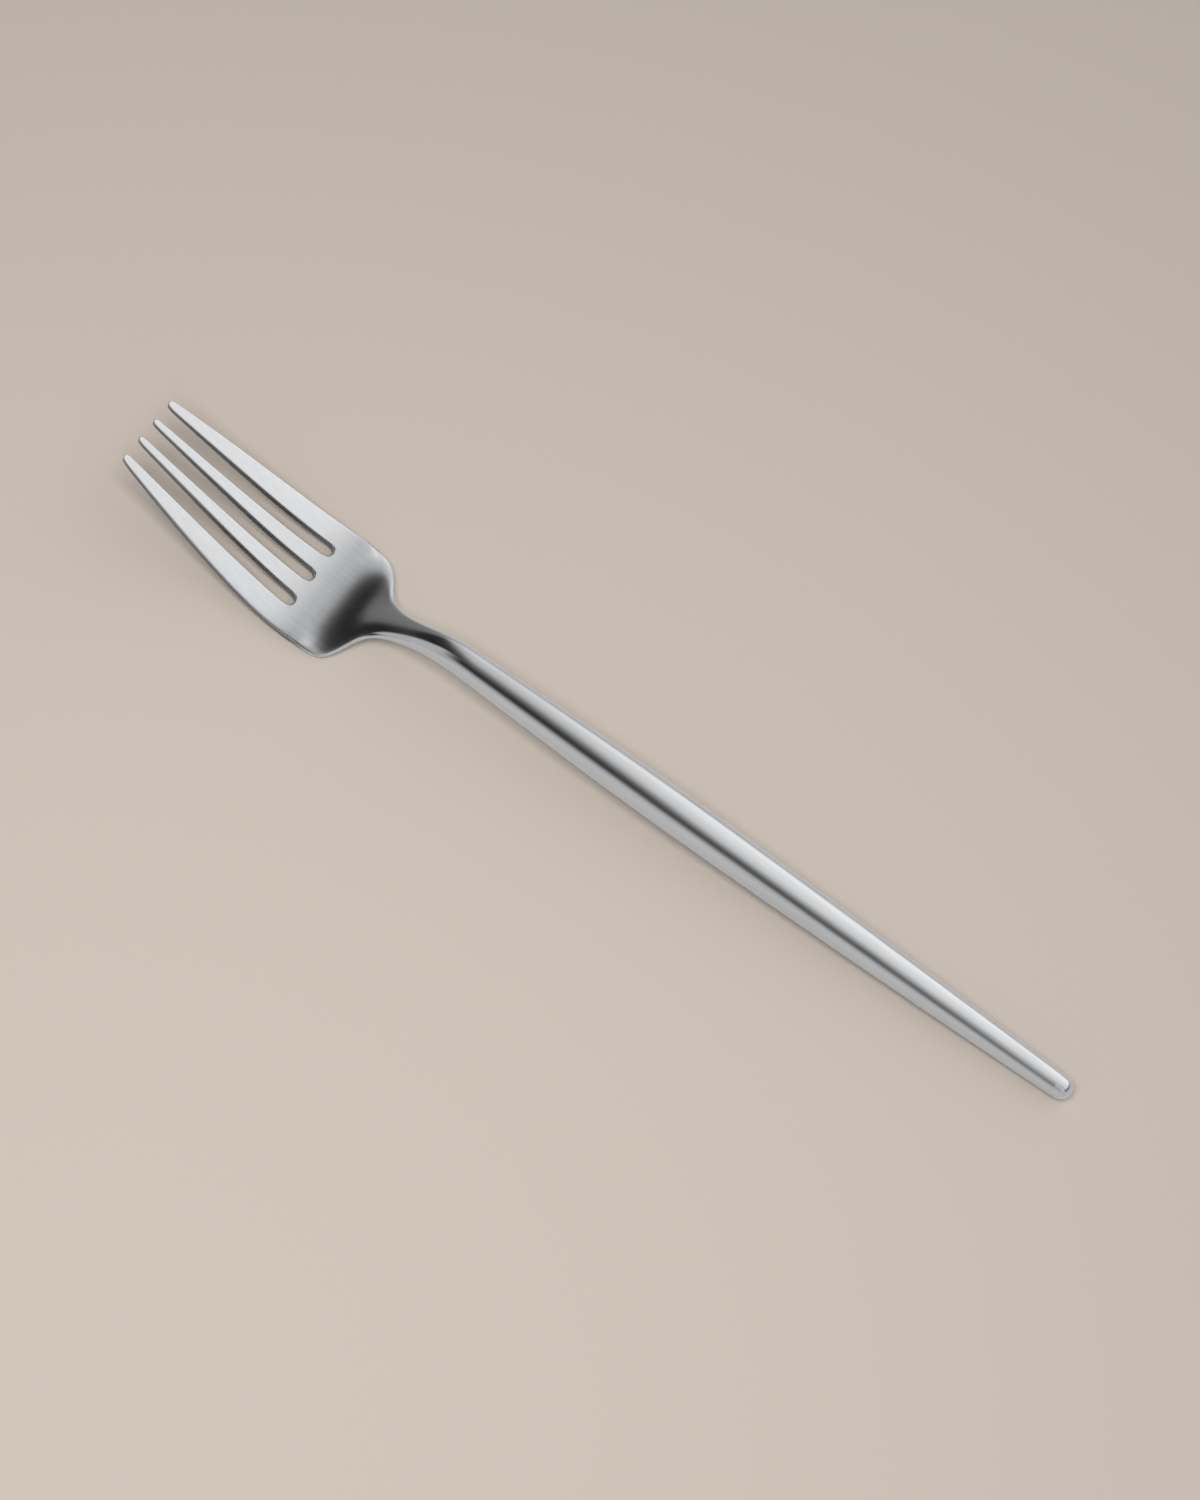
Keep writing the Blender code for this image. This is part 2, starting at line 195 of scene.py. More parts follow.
half_widths = [half_width(along) for along in (0.0, HEEL_AT, NECK_AT)]
print("half widths at the tips, heel and neck:", [round(half, 2) for half in half_widths], "mm")

# %% Thickness and heights in the side view
TINE_THICKNESS, TIP_THICKNESS, TIP_THINNING_LENGTH = 1.6, 1.0, 20.0
THICKENING_PAST_HEEL, THICK_AT = 2.5, 59.0
HEEL_DROP, TIP_RISE, TINE_BEND_SOFTNESS = 7.4, 8.8, 13.0
HEEL_BEND_LENGTH, NECK_BEND_LENGTH = 9.5, 12.0
CLIMB_SLOPE = HEEL_DROP / (JOINT_AT - HEEL_AT - (HEEL_BEND_LENGTH + NECK_BEND_LENGTH) / 2)


def ease(share):
    """Rise smoothly from 0 to 1."""
    share = clamped(share)
    return share ** 2 * (3.0 - 2.0 * share)


def bend_rise(along, start, length):
    """Height gained along a smooth bend from level to a slope of 1, and straight on from there."""
    turned = clamped((along - start) / length)
    beyond = max(along - start - length, 0.0)
    return length * (turned ** 3 - turned ** 4 / 2) + beyond


def half_thickness(along):
    """Half the head's thickness: thin tips, even tines, then thickening into the neck."""
    fullness = math.sin(math.pi / 2 * clamped(along / TIP_THINNING_LENGTH))
    tine = (TIP_THICKNESS + (TINE_THICKNESS - TIP_THICKNESS) * fullness) / 2
    start = HEEL_AT + THICKENING_PAST_HEEL
    return tine + (handle_radius(along) - tine) * ease((along - start) / (THICK_AT - start))


def heel_climb(along):
    """Height gained past the heel, before the neck levels out."""
    return CLIMB_SLOPE * bend_rise(along, HEEL_AT, HEEL_BEND_LENGTH)


def mid_height(along):
    """Height of the head's middle over the handle's axis: up at the tips, lowest at the heel."""
    if along > HEEL_AT:
        levelling = bend_rise(along, JOINT_AT - NECK_BEND_LENGTH, NECK_BEND_LENGTH)
        return heel_climb(along) - CLIMB_SLOPE * levelling - HEEL_DROP
    bend = math.hypot(HEEL_AT - along, TINE_BEND_SOFTNESS) - TINE_BEND_SOFTNESS
    full_bend = math.hypot(HEEL_AT, TINE_BEND_SOFTNESS) - TINE_BEND_SOFTNESS
    return TIP_RISE * bend / full_bend - HEEL_DROP


mid_heights = [mid_height(along) for along in (0.0, HEEL_AT, JOINT_AT)]
print("heights of the tips, heel and joint:", [round(height, 2) for height in mid_heights], "mm")

# %% [markdown]
# ## The head's blank
# A real head starts as a flat steel blank with three slots punched in it, and so does this one. It could be
# cut with booleans, but they leave long thin faces that show as ripples in polished metal. A grid whose
# rows and columns already follow the tines stays even: each tine gets five columns, each slot has one down
# its middle, and the slots are the faces that are deleted. Rows lie close together at the tips and from the
# slots to the neck, where the shape turns fastest.

# %% Rows and columns of the blank
EDGE_ROUND = 0.3
# Subdividing draws an eight-cornered ring in, so the cage round a slot's root is this much larger
CAGE_SWELL = 1.108
SLOT_CAGE = SLOT_RADIUS * CAGE_SWELL
TINE_ROWS = [0.0, 0.3, 0.8, 1.6, 3.5, 6.5, 10.0, 13.5, 17.0, 20.5, 24.0, 27.5, 30.0, 32.2, ROOT_CENTRE]
BOWL_START, BOWL_STEP, BOWL_ROW_COUNT = 35.7, 0.7, 41
BOWL_ROWS = [BOWL_START + BOWL_STEP * step for step in range(BOWL_ROW_COUNT)]
TINE_COLUMNS = ("left", "left inner", "middle", "right inner", "right")

joint = JOINT_AT + CLEARANCE / 2
rows = TINE_ROWS + ["root", "root support"] + BOWL_ROWS
rows[-1] = joint
columns = []
for tine in range(TINE_COUNT):
    columns += [(tine, share) for share in TINE_COLUMNS]
    if tine < TINE_COUNT - 1:
        columns.append((tine, "slot"))
print("blank:", len(rows), "rows,", len(columns), "columns")

# %% Places on the tines
TIP_ROUNDING, TIP_BLUNTNESS = 1.5, 0.4
# On the narrow tips the inner columns keep this share of the width from the sides
INNER_SHARE = 0.3


def slot_centre(slot, along):
    """Sideways place of a slot's centre line; the slots fan out towards the bowl."""
    pitch_at_tips = INNER_TINE_AT_TIPS + SLOT_WIDTH_AT_TIPS
    pitch_at_roots = INNER_TINE_AT_ROOTS + SLOT_WIDTH_AT_ROOTS
    pitch = pitch_at_tips + (pitch_at_roots - pitch_at_tips) * along / SLOT_LENGTH
    return (slot - (TINE_COUNT - 2) / 2) * pitch


def tine_edges(tine, along, slot_half):
    """Both sides of a tine, drawn in towards its middle at the rounded tip."""
    left = -half_width(along)
    right = half_width(along)
    if tine > 0:
        left = slot_centre(tine - 1, along) + slot_half
    if tine < TINE_COUNT - 1:
        right = slot_centre(tine, along) - slot_half
    middle = (left + right) / 2
    inset = 1.0 - clamped(along / TIP_ROUNDING)
    half = (right - left) / 2 * (TIP_BLUNTNESS + (1.0 - TIP_BLUNTNESS) * math.sqrt(1.0 - inset ** 2))
    return middle - half, middle + half


def column_side(column, along, slot_half):
    """Sideways place of a column on the tines."""
    tine, share = column
    if share == "slot":
        return slot_centre(tine, along)
    left, right = tine_edges(tine, along, slot_half)
    inner = min(EDGE_ROUND, INNER_SHARE * (right - left))
    return {
        "left": left,
        "left inner": left + inner,
        "middle": (left + right) / 2,
        "right inner": right - inner,
        "right": right,
    }[share]


root_places = [slot_centre(slot, SLOT_LENGTH) for slot in range(TINE_COUNT - 1)]
print("slots end at", [round(place, 2) for place in root_places], "mm from the middle")

# %% Lay out the blank
ROOT_CORNER = math.sqrt(0.5)


def blank_point(row, column):
    """Place of a row and column on the flat blank: (along, sideways)."""
    if isinstance(row, str):
        radius = SLOT_CAGE + (EDGE_ROUND if row == "root support" else 0.0)
        along = ROOT_CENTRE + radius * ROOT_CORNER
        side = column_side(column, along, radius * ROOT_CORNER)
        return (ROOT_CENTRE + radius if column[1] == "slot" else along), side
    if row <= ROOT_CENTRE:
        share = row / ROOT_CENTRE
        slot_half = (SLOT_WIDTH_AT_TIPS + (SLOT_WIDTH_AT_ROOTS - SLOT_WIDTH_AT_TIPS) * share) / 2
        return row, column_side(column, row, slot_half)
    root_side = column_side(column, SLOT_LENGTH, SLOT_RADIUS)
    return row, root_side * half_width(row) / half_width(SLOT_LENGTH)


bpy.ops.object.select_all(action="DESELECT")
bpy.ops.mesh.primitive_grid_add(x_subdivisions=len(rows) - 1, y_subdivisions=len(columns) - 1, size=2)
head = bpy.context.object
head.name = head.data.name = "forged_head"
for vertex in head.data.vertices:
    row = round((vertex.co.x + 1.0) / 2 * (len(rows) - 1))
    column = round((vertex.co.y + 1.0) / 2 * (len(columns) - 1))
    along, side = blank_point(rows[row], columns[column])
    vertex.co = (along * MM, side * MM, TINE_THICKNESS / 2 * MM)
print("blank has", len(head.data.polygons), "faces")

# %% [markdown]
# ## Punch, thicken and round
# Deleting the slot faces punches the slots. Extruding the sheet downwards gives it a wall, in four steps,
# so that there is an edge loop close to the top and one close to the bottom. A Subdivision Surface modifier
# pulls towards such close loops, which leaves the small round edge that tumbling gives real tines. The
# bevel tool could do that too, but it would be clamped at the narrow tips.

# %% Punch the slots
def select_faces(piece, wanted):
    """In edit mode, select just the faces for which wanted(face) is true, and count them."""
    bpy.ops.mesh.select_mode(type="FACE")
    bpy.ops.mesh.select_all(action="DESELECT")
    faces = bmesh.from_edit_mesh(piece.data).faces
    chosen = [face for face in faces if wanted(face)]
    for face in chosen:
        face.select_set(True)
    bmesh.update_edit_mesh(piece.data)
    return len(chosen)


def in_slot(face):
    """True where a flat face lies between two tines, ahead of the slots' roots."""
    middle = face.calc_center_median() / MM
    if middle.x > ROOT_CENTRE + SLOT_CAGE * ROOT_CORNER:
        return False
    gaps = [abs(middle.y - slot_centre(slot, middle.x)) for slot in range(TINE_COUNT - 1)]
    return min(gaps) < SLOT_RADIUS


bpy.ops.object.mode_set(mode="EDIT")
punched = select_faces(head, in_slot)
bpy.ops.mesh.delete(type="FACE")
print(punched, "slot faces punched")

# %% Make the blank solid
WALL_STEP = TINE_THICKNESS / 2 - EDGE_ROUND
SUBDIVISIONS = 2
# A normal with more than this along x points along the handle
POINTS_ALONG = 0.9


def at_neck_end(face):
    """True where a face closes the blank at the neck's end."""
    return face.normal.x > POINTS_ALONG and face.calc_center_median().x > JOINT_AT * MM


bpy.ops.mesh.select_all(action="SELECT")
for depth in (EDGE_ROUND, WALL_STEP, WALL_STEP, EDGE_ROUND):
    bpy.ops.mesh.extrude_region_move(TRANSFORM_OT_translate={"value": (0.0, 0.0, -depth * MM)})
bpy.ops.mesh.select_all(action="SELECT")
bpy.ops.mesh.normals_make_consistent(inside=False)
opened = select_faces(head, at_neck_end)
bpy.ops.mesh.delete(type="FACE")
bpy.ops.object.mode_set(mode="OBJECT")
bpy.ops.object.modifier_add(type="SUBSURF")
head.modifiers[-1].levels = head.modifiers[-1].render_levels = SUBDIVISIONS
bpy.ops.object.modifier_apply(modifier=head.modifiers[-1].name)
print(opened, "faces opened at the neck,", len(head.data.polygons), "faces now")

# %% [markdown]
# ## Forge the head
# A drop forge thins the tips, thickens the neck, rounds it and bends the side view, all in one blow.
# Lattices and curve modifiers bend a mesh too, but the same formulas as above do it exactly: each point
# keeps its place along the fork, takes its height from the side view, and moves from a flat section to a
# round one along the shoulders. The top's crown fades in along the tines, and the sides of the heel's bend
# lag behind its middle, which draws the dark reflection there much as in the photograph. These last forms
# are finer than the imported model's.

# %% Work out the forged shape
# The edges roll over from the heel to ROLLED_AT, and the section grows round from ROUND_FROM to ROUND_AT
ROLLED_AT, ROUND_FROM, ROUND_AT = 42.0, 38.5, 45.2
SQUARE_POWER, ROUND_POWER = 6.0, 2.0
# How far out the crown is followed: all the way would leave no thickness at the edge
EDGE_KEPT = 0.97
# The bend lags by SIDE_LAG at SIDE_LAG_AT from the middle, and by much less further in
SIDE_LAG, SIDE_LAG_AT, SIDE_LAG_POWER = 2.4, 10.0, 4.0


def forged(point):
    """Where a point of the flat blank lies on the forged head; millimetres along the handle's axis."""
    along, side, height = point
    width = half_width(along)
    thick = half_thickness(along)
    flat = Vector((side / width, height / (TINE_THICKNESS / 2)))
    roundness = ease((along - ROUND_FROM) / (ROUND_AT - ROUND_FROM))
    power = 1.0 / (roundness / ROUND_POWER + (1.0 - roundness) / SQUARE_POWER)
    reach = (abs(flat.x) ** power + abs(flat.y) ** power) ** (1.0 / power)
    crown = (1.0 - (EDGE_KEPT * abs(flat.x)) ** power) ** (1.0 / power)
    on_tines = Vector((flat.x, flat.y * (1.0 + (crown - 1.0) * ease(along / SLOT_LENGTH))))
    share = on_tines.lerp(flat / reach, ease((along - HEEL_AT) / (ROLLED_AT - HEEL_AT)))
    lag = SIDE_LAG * (abs(share.x) * width / SIDE_LAG_AT) ** SIDE_LAG_POWER
    sag = heel_climb(along) - heel_climb(along - lag)
    return Vector((along, share.x * width, mid_height(along) + share.y * thick - sag))


heel_top = forged((HEEL_AT, 0.0, TINE_THICKNESS / 2))
print("top of the heel is pressed to", round(heel_top.z, 2), "mm over the handle's axis")

# %% Mark the walls and press the blank
# The walls' attribute: a rougher finish, and a darker colour that is painted shade
WALL_DULLNESS_AND_SHADE = "dull_wall_and_painted_shade"
# Shares of half the thickness: up to the first all is wall, and over the second the wall fades out
WALL_LEVEL, WALL_FADE = 0.55, 0.4


def dull_and_shaded_wall_share(point):
    """1 on the cut walls of the tines and slots, which get a dull finish and painted shade, 0 on the
    polished top, bottom and neck.
    """
    level = abs(point.z) / (TINE_THICKNESS / 2)
    on_wall = 1.0 - ease((level - WALL_LEVEL) / WALL_FADE)
    ahead_of_neck = 1.0 - ease((point.x - HEEL_AT) / (ROLLED_AT - HEEL_AT))
    return on_wall * ahead_of_neck


# Mask for the walls' dull finish and their painted shade
dullness_and_shade = head.data.attributes.new(WALL_DULLNESS_AND_SHADE, "FLOAT", "POINT")
for vertex, dull_and_shaded in zip(head.data.vertices, dullness_and_shade.data):
    dull_and_shaded.value = dull_and_shaded_wall_share(vertex.co / MM)
    vertex.co = forged(vertex.co / MM) * MM
heights = [vertex.co.z / MM for vertex in head.data.vertices]
print("head lies from", round(min(heights), 1), "to", round(max(heights), 1), "mm over the handle's axis")

# %% [markdown]
# ## The tang
# Behind the neck the head ends in a thin rod, the tang, that is bedded in the hollow handle. It is hidden,
# but the piece is only whole with it. A cylinder could be joined on, but then two surfaces would overlap.
# The open end of the neck is extruded and scaled instead, as by hand: once for the shoulder that meets the
# handle, then for the rod and its blunt point.

# %% Draw out the tang
TUBE_WALL, BEDDING_WALL, TANG_LENGTH, TANG_POINT = 0.8, 0.25, 22.0, 2.0
TANG_RADIUS = handle_radius(JOINT_AT + CLEARANCE) - TUBE_WALL - BEDDING_WALL - 2 * CLEARANCE


def extrude_ring(from_place, to_place):
    """Extrude the selected ring along the axis and scale it; a place is (along, radius) in mm."""
    (start, start_radius), (end, end_radius) = from_place, to_place
    bpy.ops.mesh.extrude_region_move(TRANSFORM_OT_translate={"value": ((end - start) * MM, 0.0, 0.0)})
    scale = end_radius / start_radius
    bpy.ops.transform.resize(value=(1.0, scale, scale), center_override=(end * MM, 0.0, 0.0))


def draw_out(profile):
    """Extrude the selected ring through a profile of (along, radius) places."""
    for from_place, to_place in zip(profile, profile[1:]):
        extrude_ring(from_place, to_place)


tang_end = JOINT_AT + TANG_LENGTH
bpy.ops.object.mode_set(mode="EDIT")
bpy.ops.mesh.select_mode(type="EDGE")
bpy.ops.mesh.select_all(action="DESELECT")
bpy.ops.mesh.select_non_manifold(extend=False, use_wire=False, use_multi_face=False, use_verts=False)
draw_out([
    (joint, handle_radius(joint)),
    (joint, TANG_RADIUS),
    (tang_end - TANG_POINT, TANG_RADIUS),
    (tang_end, TANG_RADIUS / 2),
])
bpy.ops.mesh.edge_face_add()
bpy.ops.mesh.select_all(action="SELECT")
bpy.ops.mesh.normals_make_consistent(inside=False)
bpy.ops.object.mode_set(mode="OBJECT")
print("tang radius", round(TANG_RADIUS, 2), "mm, head has", len(head.data.polygons), "faces")

# %% [markdown]
# ## The handle and its plug
# The handle is a tube that was swaged to a belly and two slim ends, and the plug is a small turned piece. A
# lathe profile could be spun, but a round ring that is extruded and scaled from place to place is just as
# true, and leaves no seam. The tube's ring goes out along the outside and comes back through the bore.

# %% Start and close a ring
RING_CORNERS = 96
MERGE_DISTANCE = 0.001


def start_ring(name, place):
    """A new ring about the axis, in edit mode with its edges selected."""
    bpy.ops.object.select_all(action="DESELECT")
    along, radius = place
    bpy.ops.mesh.primitive_circle_add(
        vertices=RING_CORNERS,
        radius=radius * MM,
        location=(along * MM, 0.0, 0.0),
        rotation=(0.0, math.pi / 2, 0.0),
    )
    ring = bpy.context.object
    ring.name = ring.data.name = name
    bpy.ops.object.transform_apply()
    bpy.ops.object.mode_set(mode="EDIT")
    bpy.ops.mesh.select_mode(type="EDGE")
    bpy.ops.mesh.select_all(action="SELECT")
    return ring


def close_up():
    """Merge what coincides, point the faces outwards and leave edit mode."""
    bpy.ops.mesh.select_all(action="SELECT")
    bpy.ops.mesh.remove_doubles(threshold=MERGE_DISTANCE * MM)
    bpy.ops.mesh.normals_make_consistent(inside=False)
    bpy.ops.object.mode_set(mode="OBJECT")


print("rings have", RING_CORNERS, "corners")

# %% Draw the tube
TUBE_ROW = 2.0
PLUG_BAND = 1.0
DOME_CENTRE = OVERALL_LENGTH - END_RADIUS
PLUG_FACE = DOME_CENTRE - PLUG_BAND

plug_joint = PLUG_FACE - CLEARANCE / 2
tube_rows = round((plug_joint - joint) / TUBE_ROW)
tube_places = [joint + (plug_joint - joint) * row / tube_rows for row in range(tube_rows + 1)]
outside = [(along, handle_radius(along)) for along in tube_places]
bore = [(along, handle_radius(along) - TUBE_WALL) for along in reversed(tube_places)]
tube = start_ring("hollow_handle", outside[0])
draw_out(outside + bore + outside[:1])
close_up()
print("tube has", len(tube.data.polygons), "faces")

# %% Turn the plug
DOME_STEPS = 10
SPIGOT_LENGTH = 8.0

spigot_radius = handle_radius(PLUG_FACE) - TUBE_WALL - CLEARANCE
dome_angles = [math.pi / 2 * step / DOME_STEPS for step in range(DOME_STEPS)]
dome = [(DOME_CENTRE + END_RADIUS * math.sin(angle), END_RADIUS * math.cos(angle)) for angle in dome_angles]
spigot = [(PLUG_FACE - SPIGOT_LENGTH, spigot_radius), (plug_joint, spigot_radius)]
plug = start_ring("handle_plug", spigot[0])
bpy.ops.mesh.edge_face_add()
bpy.ops.mesh.select_all(action="SELECT")
draw_out(spigot + [(plug_joint, handle_radius(plug_joint))] + dome)
to_tip = ((OVERALL_LENGTH - dome[-1][0]) * MM, 0.0, 0.0)
bpy.ops.mesh.extrude_region_move(TRANSFORM_OT_translate={"value": to_tip})
bpy.ops.mesh.merge(type="CENTER")
close_up()
print("plug has", len(plug.data.polygons), "faces")

# %% [markdown]
# ## Lay the pieces on the frame
# Each mesh was made along the handle's axis, so the matrix measured at the start lays it down. Parenting to
# an empty would do that too, but applying the matrix to the mesh leaves every object at the origin,
# unturned, so that patterns on Object coordinates run on from one piece to the next. Smooth shading stops
# at edges sharper than 35 degrees.

# %% Place, smooth and hand over to the frame
SMOOTH_ANGLE = math.radians(35)


def settle(piece, node):
    """Lay a piece in its place and let it stand for its node."""
    bpy.ops.object.select_all(action="DESELECT")
    piece.select_set(True)
    bpy.context.view_layer.objects.active = piece
    piece.matrix_world = axis_frame
    bpy.ops.object.transform_apply()
    bpy.ops.object.shade_smooth_by_angle(angle=SMOOTH_ANGLE)
    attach(piece, "root")
    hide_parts(node)


settle(head, "fork_head")
settle(tube, "handle_tube")
settle(plug, "end_plug")
print("lowest point:", round(min(corner.co.z for corner in head.data.vertices) / MM, 3), "mm")

# %% [markdown]
# ## Helpers for the finishes
# Colours are written as hex values, as a picture editor shows them, and turned to the linear values that a
# shader needs. One small function adds any node, sets its properties and inputs and links what comes from
# other nodes.

# %% Colour and node helpers
def linear(code):
    """Turn an sRGB hex colour into linear red, green, blue and alpha, by the sRGB standard's curve."""
    shares = [int(code[place:place + 2], 16) / 255 for place in (1, 3, 5)]
    light = [share / 12.92 if share <= 0.04045 else ((share + 0.055) / 1.055) ** 2.4 for share in shares]
    return light + [1.0]


def add_node(tree, kind, inputs=(), **settings):
    """Add a node; an input is a plain value or another node's socket."""
    node = tree.nodes.new(kind)
    for name, value in settings.items():
        setattr(node, name, value)
    for name, value in dict(inputs).items():
        if isinstance(value, bpy.types.NodeSocket):
            tree.links.new(value, node.inputs[name])
        else:
            node.inputs[name].default_value = value
    return node


def new_material(name):
    """A material whose node tree is empty, and that tree."""
    material = bpy.data.materials.new(name)
    material.use_nodes = True
    material.node_tree.nodes.clear()
    return material, material.node_tree


def dress(piece, material):
    """Give a piece one material in place of what it had."""
    piece.data.materials.clear()
    piece.data.materials.append(material)


print("mid grey in linear light:", round(linear("#808080")[0], 3))

# %% [markdown]
# ## Satin-polished stainless steel
# Cutlery is ground, then polished lengthwise with a fine compound. That leaves a soft mirror with faint
# lines along the fork. The wheel hardly reaches the cut walls of the tines and slots, so they stay dull,
# and their dark colour is painted shade. An image would need UVs, so the lines are a noise that is
# stretched along the axis, and the walls are known by the attribute that the head got when it was pressed.

# %% Steel
# Real polish lines are a few hundredths of a millimetre wide: these are drawn coarse enough to show
LINE_WIDTH, LINE_LENGTH = 0.5, 40.0
CLOUD_SIZE = 14.0
# Nearly all values of a noise lie between these
NOISE_LOW, NOISE_HIGH = 0.3, 0.7
LINE_ROUGHNESS = (0.08, 0.14)
CLOUD_ROUGHNESS = (-0.02, 0.03)
WALL_ROUGHNESS = 0.4
LINE_RELIEF, LINE_DEPTH = 0.06, 0.02
# The wall colour is painted shade, darker than the polished steel
STEEL_DARK, STEEL_PALE, WALL_SHADE_COLOUR = "#C8C9CB", "#DADBDC", "#7C7B7A"


def satin_steel():
    # To the eye: a soft, neutral grey mirror with faint streaks and clouds, and dull cut walls darkened by
    # painted shade
    material, tree = new_material("satin_polished_stainless_steel")
    place = add_node(tree, "ShaderNodeTexCoord").outputs["Object"]
    lengthwise = add_node(tree, "ShaderNodeMapping", {
        "Vector": place,
        "Rotation": (0.0, -handle_slope, 0.0),
        "Scale": (1.0 / (LINE_LENGTH * MM), 1.0 / (LINE_WIDTH * MM), 1.0 / (LINE_WIDTH * MM)),
    }).outputs["Vector"]
    lines = add_node(tree, "ShaderNodeTexNoise", {
        "Vector": lengthwise, "Scale": 1.0, "Detail": 3.0, "Roughness": 0.6,
    }).outputs["Fac"]
    clouds = add_node(tree, "ShaderNodeTexNoise", {
        "Vector": place, "Scale": 1.0 / (CLOUD_SIZE * MM), "Detail": 2.0,
    }).outputs["Fac"]
    line_gloss = add_node(tree, "ShaderNodeMapRange", {
        "Value": lines, "From Min": NOISE_LOW, "From Max": NOISE_HIGH,
        "To Min": LINE_ROUGHNESS[0], "To Max": LINE_ROUGHNESS[1],
    }).outputs["Result"]
    cloud_gloss = add_node(tree, "ShaderNodeMapRange", {
        "Value": clouds, "From Min": NOISE_LOW, "From Max": NOISE_HIGH,
        "To Min": CLOUD_ROUGHNESS[0], "To Max": CLOUD_ROUGHNESS[1],
    }).outputs["Result"]
    polish = add_node(tree, "ShaderNodeMath", {0: line_gloss, 1: cloud_gloss}, operation="ADD").outputs[0]
    # Mask of the cut walls, for their dull finish and their painted shade
    dull_and_shaded = add_node(tree, "ShaderNodeAttribute", attribute_name=WALL_DULLNESS_AND_SHADE).outputs["Fac"]
    gloss = add_node(tree, "ShaderNodeMapRange", {
        "Value": dull_and_shaded, "To Min": polish, "To Max": WALL_ROUGHNESS,
    }).outputs["Result"]
    bright = add_node(tree, "ShaderNodeMix", {
        "Factor": lines, "A": linear(STEEL_DARK), "B": linear(STEEL_PALE),
    }, data_type="RGBA").outputs["Result"]
    # Painted shade: the cut walls take the dark wall colour
    tint = add_node(tree, "ShaderNodeMix", {
        "Factor": dull_and_shaded, "A": bright, "B": linear(WALL_SHADE_COLOUR),
    }, data_type="RGBA").outputs["Result"]
    relief = add_node(tree, "ShaderNodeBump", {
        "Height": lines, "Strength": LINE_RELIEF, "Distance": LINE_DEPTH * MM,
    }).outputs["Normal"]
    shader = add_node(tree, "ShaderNodeBsdfPrincipled", {
        "Base Color": tint, "Metallic": 1.0, "Roughness": gloss, "Normal": relief,
    })
    add_node(tree, "ShaderNodeOutputMaterial", {"Surface": shader.outputs["BSDF"]})
    return material


steel = satin_steel()
for piece in (head, tube, plug):
    dress(piece, steel)
print("steel on", [piece.name for piece in (head, tube, plug)])

# %% [markdown]
# ## Bedding resin
# The tang is bedded in resin filled with mineral powder. It could be modelled afresh, but nothing of it
# shows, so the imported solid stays, with a dull grey finish and the fine specks of the filler.

# %% Resin
# A filler's grains are finer: the specks are drawn coarse enough to show
SPECK_SIZE = 0.4
SPECK_RELIEF, SPECK_DEPTH = 0.3, 0.05
RESIN_DARK, RESIN_PALE = "#77736C", "#8F8B83"


def filled_resin():
    # To the eye: a dull warm grey, finely speckled, with no clear reflections
    material, tree = new_material("cast_mineral_filled_resin")
    place = add_node(tree, "ShaderNodeTexCoord").outputs["Object"]
    specks = add_node(tree, "ShaderNodeTexNoise", {
        "Vector": place, "Scale": 1.0 / (SPECK_SIZE * MM), "Detail": 2.0,
    }).outputs["Fac"]
    tint = add_node(tree, "ShaderNodeMix", {
        "Factor": specks, "A": linear(RESIN_DARK), "B": linear(RESIN_PALE),
    }, data_type="RGBA").outputs["Result"]
    relief = add_node(tree, "ShaderNodeBump", {
        "Height": specks, "Strength": SPECK_RELIEF, "Distance": SPECK_DEPTH * MM,
    }).outputs["Normal"]
    shader = add_node(tree, "ShaderNodeBsdfPrincipled", {
        "Base Color": tint, "Roughness": 0.7, "IOR": 1.5, "Normal": relief,
    })
    add_node(tree, "ShaderNodeOutputMaterial", {"Surface": shader.outputs["BSDF"]})
    return material


dress(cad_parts["tang_bedding"], filled_resin())
print("resin on tang_bedding")

# %% [markdown]
# ## The table
# The fork lies on a plain matt table in warm beige. A table with an end would show its edge in low views,
# and a curved backdrop would be mirrored in the steel, so the paint fades out some way from the fork and
# the backdrop's colour takes over. The steel mirrors a paler and greyer table, which keeps it neutral, as
# it is in the photograph. Table, room and lamps are in metres.

# %% Table
FLOOR_SIZE = 2.4
FADE_START, FADE_END = 0.18, 0.5
FLOOR_COLOUR = "#B8AEA4"
FLOOR_IN_STEEL = "#C4C3C2"


def matt_table():
    # To the eye: even beige paint that takes soft shadows and shows no gloss
    material, tree = new_material("matt_painted_table")
    mirrored = add_node(tree, "ShaderNodeLightPath").outputs["Is Glossy Ray"]
    tint = add_node(tree, "ShaderNodeMix", {
        "Factor": mirrored, "A": linear(FLOOR_COLOUR), "B": linear(FLOOR_IN_STEEL),
    }, data_type="RGBA").outputs["Result"]
    paint = add_node(tree, "ShaderNodeBsdfPrincipled", {
        "Base Color": tint, "Roughness": 0.9, "Specular IOR Level": 0.2,
    })
    place = add_node(tree, "ShaderNodeTexCoord").outputs["Object"]
    reach = add_node(tree, "ShaderNodeVectorMath", {0: place}, operation="LENGTH").outputs["Value"]
    fade = add_node(tree, "ShaderNodeMapRange", {
        "Value": reach, "From Min": FADE_START, "From Max": FADE_END,
    }, interpolation_type="SMOOTHSTEP").outputs["Result"]
    clear = add_node(tree, "ShaderNodeBsdfTransparent")
    faded = add_node(tree, "ShaderNodeMixShader", {
        0: fade, 1: paint.outputs["BSDF"], 2: clear.outputs["BSDF"],
    })
    add_node(tree, "ShaderNodeOutputMaterial", {"Surface": faded.outputs["Shader"]})
    return material


bpy.ops.object.select_all(action="DESELECT")
bpy.ops.mesh.primitive_plane_add(size=FLOOR_SIZE, location=(0.0, 0.0, cad_box[0].z))
floor = bpy.context.object
floor.name = "table"
dress(floor, matt_table())
print("table", FLOOR_SIZE, "m wide at", round(cad_box[0].z / MM, 3), "mm")

